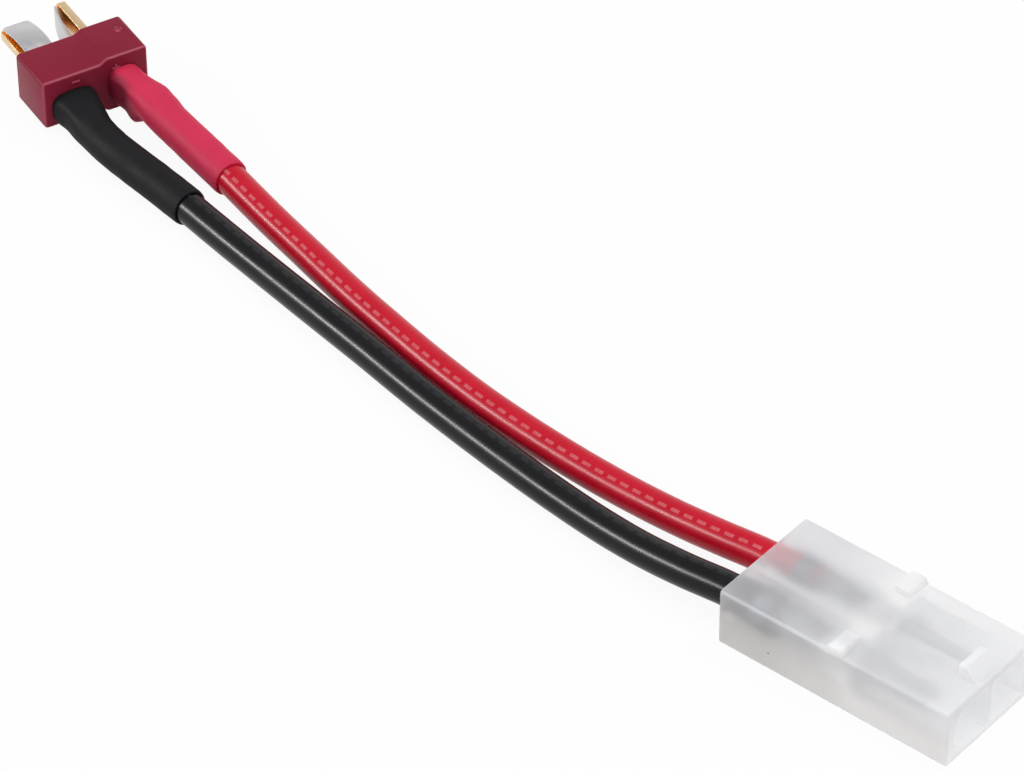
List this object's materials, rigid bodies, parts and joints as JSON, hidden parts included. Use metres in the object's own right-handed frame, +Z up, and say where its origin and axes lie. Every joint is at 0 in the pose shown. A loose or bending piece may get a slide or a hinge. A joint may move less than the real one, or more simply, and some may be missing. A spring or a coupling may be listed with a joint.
{
  "type": "battery adapter lead",
  "caption": "Short adapter lead: a crimson plug with a flat and an upright blade, joined by black and red silicone wires to a milky nylon receptacle with two pins.",
  "frame": {"origin": "middle of the receptacle housing's underside, which lies on the table", "axes": "+X along the receptacle housing toward its mating face, +Y across it from the black wire to the red one, +Z up"},
  "size_m": [0.1525, 0.0324, 0.0086],
  "materials": {
    "crimson_plug": "satin moulded nylon, crimson, light sheen on the edges",
    "gold_plate": "gold plated brass, bright and a little worn at the edges",
    "spring_steel": "bright nickel plated spring strip",
    "solder": "solder, satin grey with a smooth wetted edge",
    "black_heat_shrink": "black polyolefin heat-shrink tube, soft sheen, unprinted",
    "red_heat_shrink": "pinkish red polyolefin heat-shrink tube, soft sheen, unprinted",
    "black_silicone": "black silicone rubber, smooth with a long highlight",
    "red_silicone": "red silicone rubber, smooth with a long highlight",
    "tinned_copper": "tinned copper strands laid in a shallow twist",
    "natural_nylon": "milky translucent nylon, satin, cloudy in its depth",
    "tin_plate": "tin plated sheet brass, satin"
  },
  "bodies": {
    "root": {"plug_housing": "crimson_plug", "flat_blade": "gold_plate", "flat_blade_spring": "spring_steel", "upright_blade": "gold_plate", "upright_blade_spring": "spring_steel", "flat_tab_solder": "solder", "upright_tab_solder": "solder", "black_sleeve": "black_heat_shrink", "red_sleeve": "red_heat_shrink", "black_wire": "black_silicone", "red_wire": "red_silicone", "black_strands": "tinned_copper", "red_strands": "tinned_copper", "receptacle_housing": "natural_nylon", "black_contact": "tin_plate", "red_contact": "tin_plate"}
  },
  "joints": []
}
